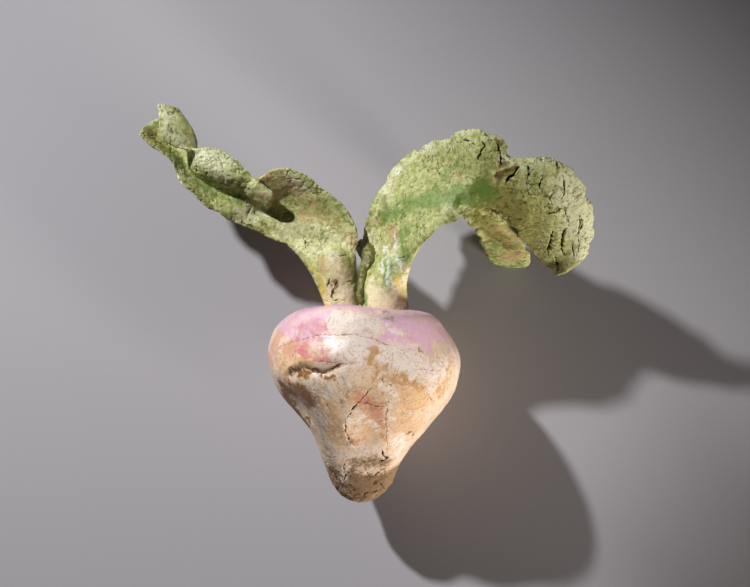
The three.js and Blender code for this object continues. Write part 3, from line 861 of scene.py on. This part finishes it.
def lay_stains(tree, place, colour, stains):
    """Lays stains over a colour: mask, hex colour, size of its mottle in mm, raggedness, strength."""
    for mask, code, size, ragged, strength in stains:
        area = add(tree, "Attribute", attribute_name=mask)
        edge = add(tree, "TexNoise", {
            "Vector": place, "Scale": per_metre(size), "Detail": 6.0, "Roughness": 0.68, "Distortion": 0.5,
        })
        uneven = add(tree, "Math", {0: edge.outputs["Fac"], 1: ragged, 2: -ragged / 2},
                     operation="MULTIPLY_ADD")
        total = add(tree, "Math", {0: area.outputs["Fac"], 1: uneven.outputs[0]}, operation="ADD")
        amount = add(tree, "MapRange", {
            "Value": total.outputs[0], "From Min": 0.2, "From Max": 0.85, "To Max": strength,
        }, interpolation_type="SMOOTHSTEP")
        colour = add(tree, "Mix", {
            0: amount.outputs["Result"], MIX_A: colour, MIX_B: linear(code),
        }, data_type="RGBA").outputs[MIX_OUT]
    return colour


def new_glaze(name):
    """A material with its Principled shader, node tree and object place."""
    material = bpy.data.materials.new(name)
    material.use_nodes = True
    tree = material.node_tree
    shader = tree.nodes["Principled BSDF"]
    place = add(tree, "TexCoord").outputs["Object"]
    return material, tree, shader, place


# %% [markdown]
# ## The root's finish: stained and glazed earthenware
# Earthenware fires to a cream body. Iron slip soaks in and fires ochre to brown, the crown's
# mauve is a stain under the glaze, and the clear glaze on top gives small sharp glints. The bare
# tip stays matt. The brown in the dents and under the lap is partly slip and partly painted
# shade. The layers lie in the order in which the potter laid them, and a last one adds the fine
# brown veins and specks that iron leaves in a glaze.

# %% Root material
root_glaze, tree, shader, place = new_glaze("stained_glazed_earthenware")
blotch = add(tree, "TexNoise", {"Vector": place, "Scale": per_metre(7), "Detail": 7.0, "Roughness": 0.65})
body = add(tree, "Mix", {
    0: blotch.outputs["Fac"], MIX_A: linear("#ecca9f"), MIX_B: linear("#e8d8c6"),
}, data_type="RGBA").outputs[MIX_OUT]
colour = lay_stains(tree, place, body, [
    ("tan", "#dfba8b", 4, 1.4, 0.8),
    ("peach", "#d6967e", 5, 1.3, 0.7),
    ("mauve", "#dba2cb", 5, 1.3, 0.85),
    ("rose", "#cf757d", 4, 1.4, 0.75),
    ("mauve", "#ecd2d8", 2.2, 2.2, 0.4),
    ("cream", "#f4e8dc", 3, 1.3, 0.85),
    ("ochre", "#c99a62", 2.4, 1.8, 0.8),
    ("moss", "#8a9a5c", 1.8, 1.2, 0.8),
    ("ash", "#e2d8ca", 2, 1.6, 0.8),
    ("bristles", "#c3a27c", 1.6, 1.8, 0.5),
    # umber: brown slip, and painted shade in the dents and under the lap
    ("umber", "#774718", 2, 1.7, 0.9),
    ("bare", "#c4ab8b", 2.2, 1.2, 0.9),
    ("bare", "#6e5536", 1.8, 2.8, 0.75),
    ("pits", "#3f2f1d", 1.0, 0.9, 0.65),
    ("line", "#94613f", 1.2, 1.2, 0.75),
    ("crack", "#1d120a", 1.0, 0.4, 0.95),
])
vein = add(tree, "TexNoise", {
    "Vector": place, "Scale": per_metre(9), "Detail": 5.0, "Roughness": 0.6, "Distortion": 1.0,
})
ridge = add(tree, "Math", {0: vein.outputs["Fac"], 1: 0.5}, operation="SUBTRACT")
ridge = add(tree, "Math", {0: ridge.outputs[0]}, operation="ABSOLUTE")
veined = add(tree, "MapRange", {
    "Value": ridge.outputs[0], "From Min": 0.0, "From Max": 0.016, "To Min": 0.5, "To Max": 0.0,
})
speck = add(tree, "TexNoise", {"Vector": place, "Scale": per_metre(0.9), "Detail": 2.0})
specked = add(tree, "MapRange", {
    "Value": speck.outputs["Fac"], "From Min": 0.59, "From Max": 0.7, "To Max": 0.6,
})
crown_mask = add(tree, "Attribute", attribute_name="mauve")
iron = add(tree, "Math", {0: veined.outputs["Result"], 1: specked.outputs["Result"]},
           operation="MAXIMUM")
below = add(tree, "Math", {0: 1.0, 1: crown_mask.outputs["Fac"]}, operation="SUBTRACT")
iron = add(tree, "Math", {0: iron.outputs[0], 1: below.outputs[0]}, operation="MULTIPLY")
colour = add(tree, "Mix", {
    0: iron.outputs[0], MIX_A: colour, MIX_B: linear("#8a5a30"),
}, data_type="RGBA").outputs[MIX_OUT]
tree.links.new(colour, shader.inputs["Base Color"])
matt = add(tree, "Attribute", attribute_name="matt")
gloss = add(tree, "MapRange", {"Value": matt.outputs["Fac"], "To Min": 0.3, "To Max": 0.8})
tree.links.new(gloss.outputs["Result"], shader.inputs["Roughness"])
fine = add(tree, "TexNoise", {"Vector": place, "Scale": per_metre(1.4), "Detail": 5.0, "Roughness": 0.65})
bump = add(tree, "Bump", {"Height": fine.outputs["Fac"], "Strength": 0.5, "Distance": 0.35 * MM})
tree.links.new(bump.outputs["Normal"], shader.inputs["Normal"])
print(root_glaze.name, len(tree.nodes), "nodes")

# %% [markdown]
# ## The leaves' finish: a crawling green glaze
# A thick copper glaze crawls as it melts: it draws back from the cracks and leaves dark clay
# between its cells. That gives the eye short broken lines and specks over pale green. The lines
# follow the edges of cells that noise has bent, and more noise breaks them up. The real
# specks are finer than the render can show, so they are drawn half a millimetre wide.

# %% Leaf material
CELL, DOT_APART, BEND_REACH = 2.0, 1.25, 2.4 * MM

leaf_glaze, tree, shader, place = new_glaze("crackled_green_glaze")
mottle = add(tree, "TexNoise", {
    "Vector": place, "Scale": per_metre(2.6), "Detail": 7.0, "Roughness": 0.72, "Distortion": 0.4,
})
green = add(tree, "MapRange", {"Value": mottle.outputs["Fac"], "From Min": 0.36, "From Max": 0.64})
body = add(tree, "Mix", {
    0: green.outputs["Result"], MIX_A: linear("#8a913f"), MIX_B: linear("#cdd093"),
}, data_type="RGBA").outputs[MIX_OUT]
# Olive, green and rust also carry painted shade, pale some painted light, and white two painted
# highlights.
colour = lay_stains(tree, place, body, [
    ("pale", "#dfe2b8", 3, 1.6, 0.8),
    ("olive", "#6f6a2c", 3, 1.4, 0.75),
    ("clay", "#b9976b", 3, 1.8, 0.75),
    ("straw", "#e9dcb6", 3, 1.2, 0.9),
    ("green", "#557f28", 2.4, 2.2, 0.68),
    ("yellow", "#dcc04a", 1.8, 1.4, 0.75),
    ("white", "#e6ebdf", 1.8, 1.4, 0.8),
    ("rust", "#5f3b22", 1.4, 1.4, 0.85),
    ("rim", "#d2d29a", 2.0, 1.6, 0.6),
    ("tear", "#4c4719", 1.0, 1.4, 0.6),
    ("line", "#7a6238", 1.0, 0.6, 0.7),
    ("crack", "#15100a", 1.0, 0.4, 0.97),
])
bend = add(tree, "TexNoise", {"Vector": place, "Scale": per_metre(1.6), "Detail": 2.0})
bend = add(tree, "VectorMath", {0: bend.outputs["Color"], 1: (0.5, 0.5, 0.5)}, operation="SUBTRACT")
bend = add(tree, "VectorMath", {0: bend.outputs[0], "Scale": BEND_REACH}, operation="SCALE")
bent = add(tree, "VectorMath", {0: place, 1: bend.outputs[0]}, operation="ADD").outputs[0]
cells = add(tree, "TexVoronoi", {"Vector": bent, "Scale": per_metre(CELL)}, feature="DISTANCE_TO_EDGE")
broken = add(tree, "TexNoise", {"Vector": place, "Scale": per_metre(1.9), "Detail": 4.0, "Roughness": 0.6})
width = add(tree, "MapRange", {
    "Value": broken.outputs["Fac"], "From Min": 0.51, "From Max": 0.66, "To Max": 0.11,
})
line = add(tree, "Math", {0: cells.outputs["Distance"], 1: width.outputs["Result"]},
           operation="LESS_THAN")
dots = add(tree, "TexVoronoi", {"Vector": bent, "Scale": per_metre(DOT_APART)})
dot_size = add(tree, "MapRange", {
    "Value": dots.outputs["Color"], "From Min": 0.45, "From Max": 1.0, "To Min": 0.0, "To Max": 0.3,
})
dot = add(tree, "Math", {0: dots.outputs["Distance"], 1: dot_size.outputs["Result"]},
          operation="LESS_THAN")
dark = add(tree, "Math", {0: line.outputs[0], 1: dot.outputs[0]}, operation="MAXIMUM")
even = add(tree, "Attribute", attribute_name="smooth")
crawled = add(tree, "MapRange", {"Value": even.outputs["Fac"], "To Min": 0.68, "To Max": 0.1})
shown = add(tree, "Math", {0: dark.outputs[0], 1: crawled.outputs["Result"]}, operation="MULTIPLY")
colour = add(tree, "Mix", {
    0: shown.outputs[0], MIX_A: colour, MIX_B: linear("#403b16"),
}, data_type="RGBA").outputs[MIX_OUT]
tree.links.new(colour, shader.inputs["Base Color"])
shader.inputs["Roughness"].default_value = 0.5
fine = add(tree, "TexNoise", {"Vector": place, "Scale": per_metre(1.0), "Detail": 5.0, "Roughness": 0.65})
height = add(tree, "Math", {0: fine.outputs["Fac"], 1: shown.outputs[0]}, operation="SUBTRACT")
bump = add(tree, "Bump", {"Height": height.outputs[0], "Strength": 0.55, "Distance": 0.35 * MM})
tree.links.new(bump.outputs["Normal"], shader.inputs["Normal"])
print(leaf_glaze.name, len(tree.nodes), "nodes")

# %% [markdown]
# ## Each piece takes the place of its solid
# The pieces ride on the only body. The three skins hide the solids that they were made from, and
# the slip smear, dark with painted shade, is an addition of its own.

# %% Hand over
for piece, node, slot, glaze in (
    (root, "root", "root_glaze", root_glaze),
    (left_leaf, "left_leaf", "leaf_glaze", leaf_glaze),
    (right_leaf, "right_leaf", "leaf_glaze", leaf_glaze),
    (slip_and_shade, None, "leaf_glaze", leaf_glaze),
):
    piece.data.materials.append(glaze)
    piece.data.polygons.foreach_set("use_smooth", [True] * len(piece.data.polygons))
    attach(piece, "root")
    if node:
        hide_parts(node)
    piece.data.calc_loop_triangles()
    print(piece.name, "has", len(piece.data.loop_triangles), "triangles")

# %% [markdown]
# ## The sheet
# The turnip lies on matt grey paper that reaches far past the picture. Paper fibres are finer
# than the render can show, so they are drawn as a faint mottle of 1.5 mm.

# %% Floor
FLOOR_SIDE = 6.0
sheet = bpy.data.meshes.new("paper")
clay = bmesh.new()
bmesh.ops.create_grid(clay, x_segments=1, y_segments=1, size=FLOOR_SIDE / 2)
clay.to_mesh(sheet)
clay.free()
floor = bpy.data.objects.new("paper", sheet)
bpy.context.scene.collection.objects.link(floor)
paper, tree, shader, place = new_glaze("matt_grey_paper")
fibre = add(tree, "TexNoise", {"Vector": place, "Scale": per_metre(1.5), "Detail": 3.0})
shade = add(tree, "Mix", {
    0: fibre.outputs["Fac"], MIX_A: linear("#a5a4a8"), MIX_B: linear("#a9a8ac"),
}, data_type="RGBA")
tree.links.new(shade.outputs[MIX_OUT], shader.inputs["Base Color"])
shader.inputs["Roughness"].default_value = 0.9
floor.data.materials.append(paper)
print("sheet", FLOOR_SIDE, "m wide")

# %% [markdown]
# ## Two lamps and a card
# One lamp stands at the upper left, small enough to draw clear shadows, and its beam fades
# towards the right. A softer, narrow one shines low from the lower right: it hardly reaches the
# sheet, so the shadows stay dark, but it lights every side that faces it, without glints of its
# own. A card in the first lamp's beam darkens the picture's lower right corner.

# %% Lamps
KEY_TRAVEL = Vector((0.98, -1.01, -1.0)).normalized()
KEY_AWAY, KEY_RADIUS, KEY_BEAM, KEY_POWER = 1.4, 0.035, 34, 100
FILL_TRAVEL = Vector((-0.76, 0.62, -0.12)).normalized()
FILL_AWAY, FILL_RADIUS, FILL_BEAM, FILL_POWER = 1.3, 0.18, 24, 126
TURNIP = Vector((0.005, 0.026, 0.04))
POOL = Vector((-0.09, -0.06, 0.0))
FLAG_CORNERS = [(605, 600), (760, 425), (960, 560), (740, 800)]
FLAG_RISE = 0.53
ROOM_LIGHT = 0.045


def hang(name, spot, travel, radius, beam, power, tint):
    """Hangs a lamp that shines along a direction, in a beam of some degrees with a soft edge."""
    light = bpy.data.lights.new(name, "SPOT")
    light.shadow_soft_size = radius
    light.spot_size = math.radians(beam)
    light.spot_blend = 1.0
    light.energy = power
    light.color = linear(tint)[:3]
    holder = bpy.data.objects.new(name, light)
    holder.location = spot
    holder.rotation_euler = travel.to_track_quat("-Z", "Y").to_euler()
    bpy.context.scene.collection.objects.link(holder)
    return holder


key_spot = TURNIP - KEY_TRAVEL * KEY_AWAY
fill_spot = TURNIP - FILL_TRAVEL * FILL_AWAY
towards_pool = (POOL - key_spot).normalized()
hang("key_lamp", key_spot, towards_pool, KEY_RADIUS, KEY_BEAM, KEY_POWER, "#fffdff")
fill = hang("fill_lamp", fill_spot, FILL_TRAVEL, FILL_RADIUS, FILL_BEAM, FILL_POWER, "#fff5f0")
fill.visible_glossy = False
card = bmesh.new()
corners = [on_sheet(x, y).lerp(key_spot, FLAG_RISE) for x, y in FLAG_CORNERS]
card.faces.new([card.verts.new(corner) for corner in corners])
flag_mesh = bpy.data.meshes.new("flag")
card.to_mesh(flag_mesh)
card.free()
flag = bpy.data.objects.new("flag", flag_mesh)
flag.data.materials.append(paper)
bpy.context.scene.collection.objects.link(flag)
world = bpy.data.worlds.new("room")
world.use_nodes = True
world.node_tree.nodes["Background"].inputs["Color"].default_value = linear("#b8aca6")
world.node_tree.nodes["Background"].inputs["Strength"].default_value = ROOM_LIGHT
bpy.context.scene.world = world
bpy.context.scene.view_settings.view_transform = "Standard"
print("lamps of", KEY_POWER, "and", FILL_POWER, "W")
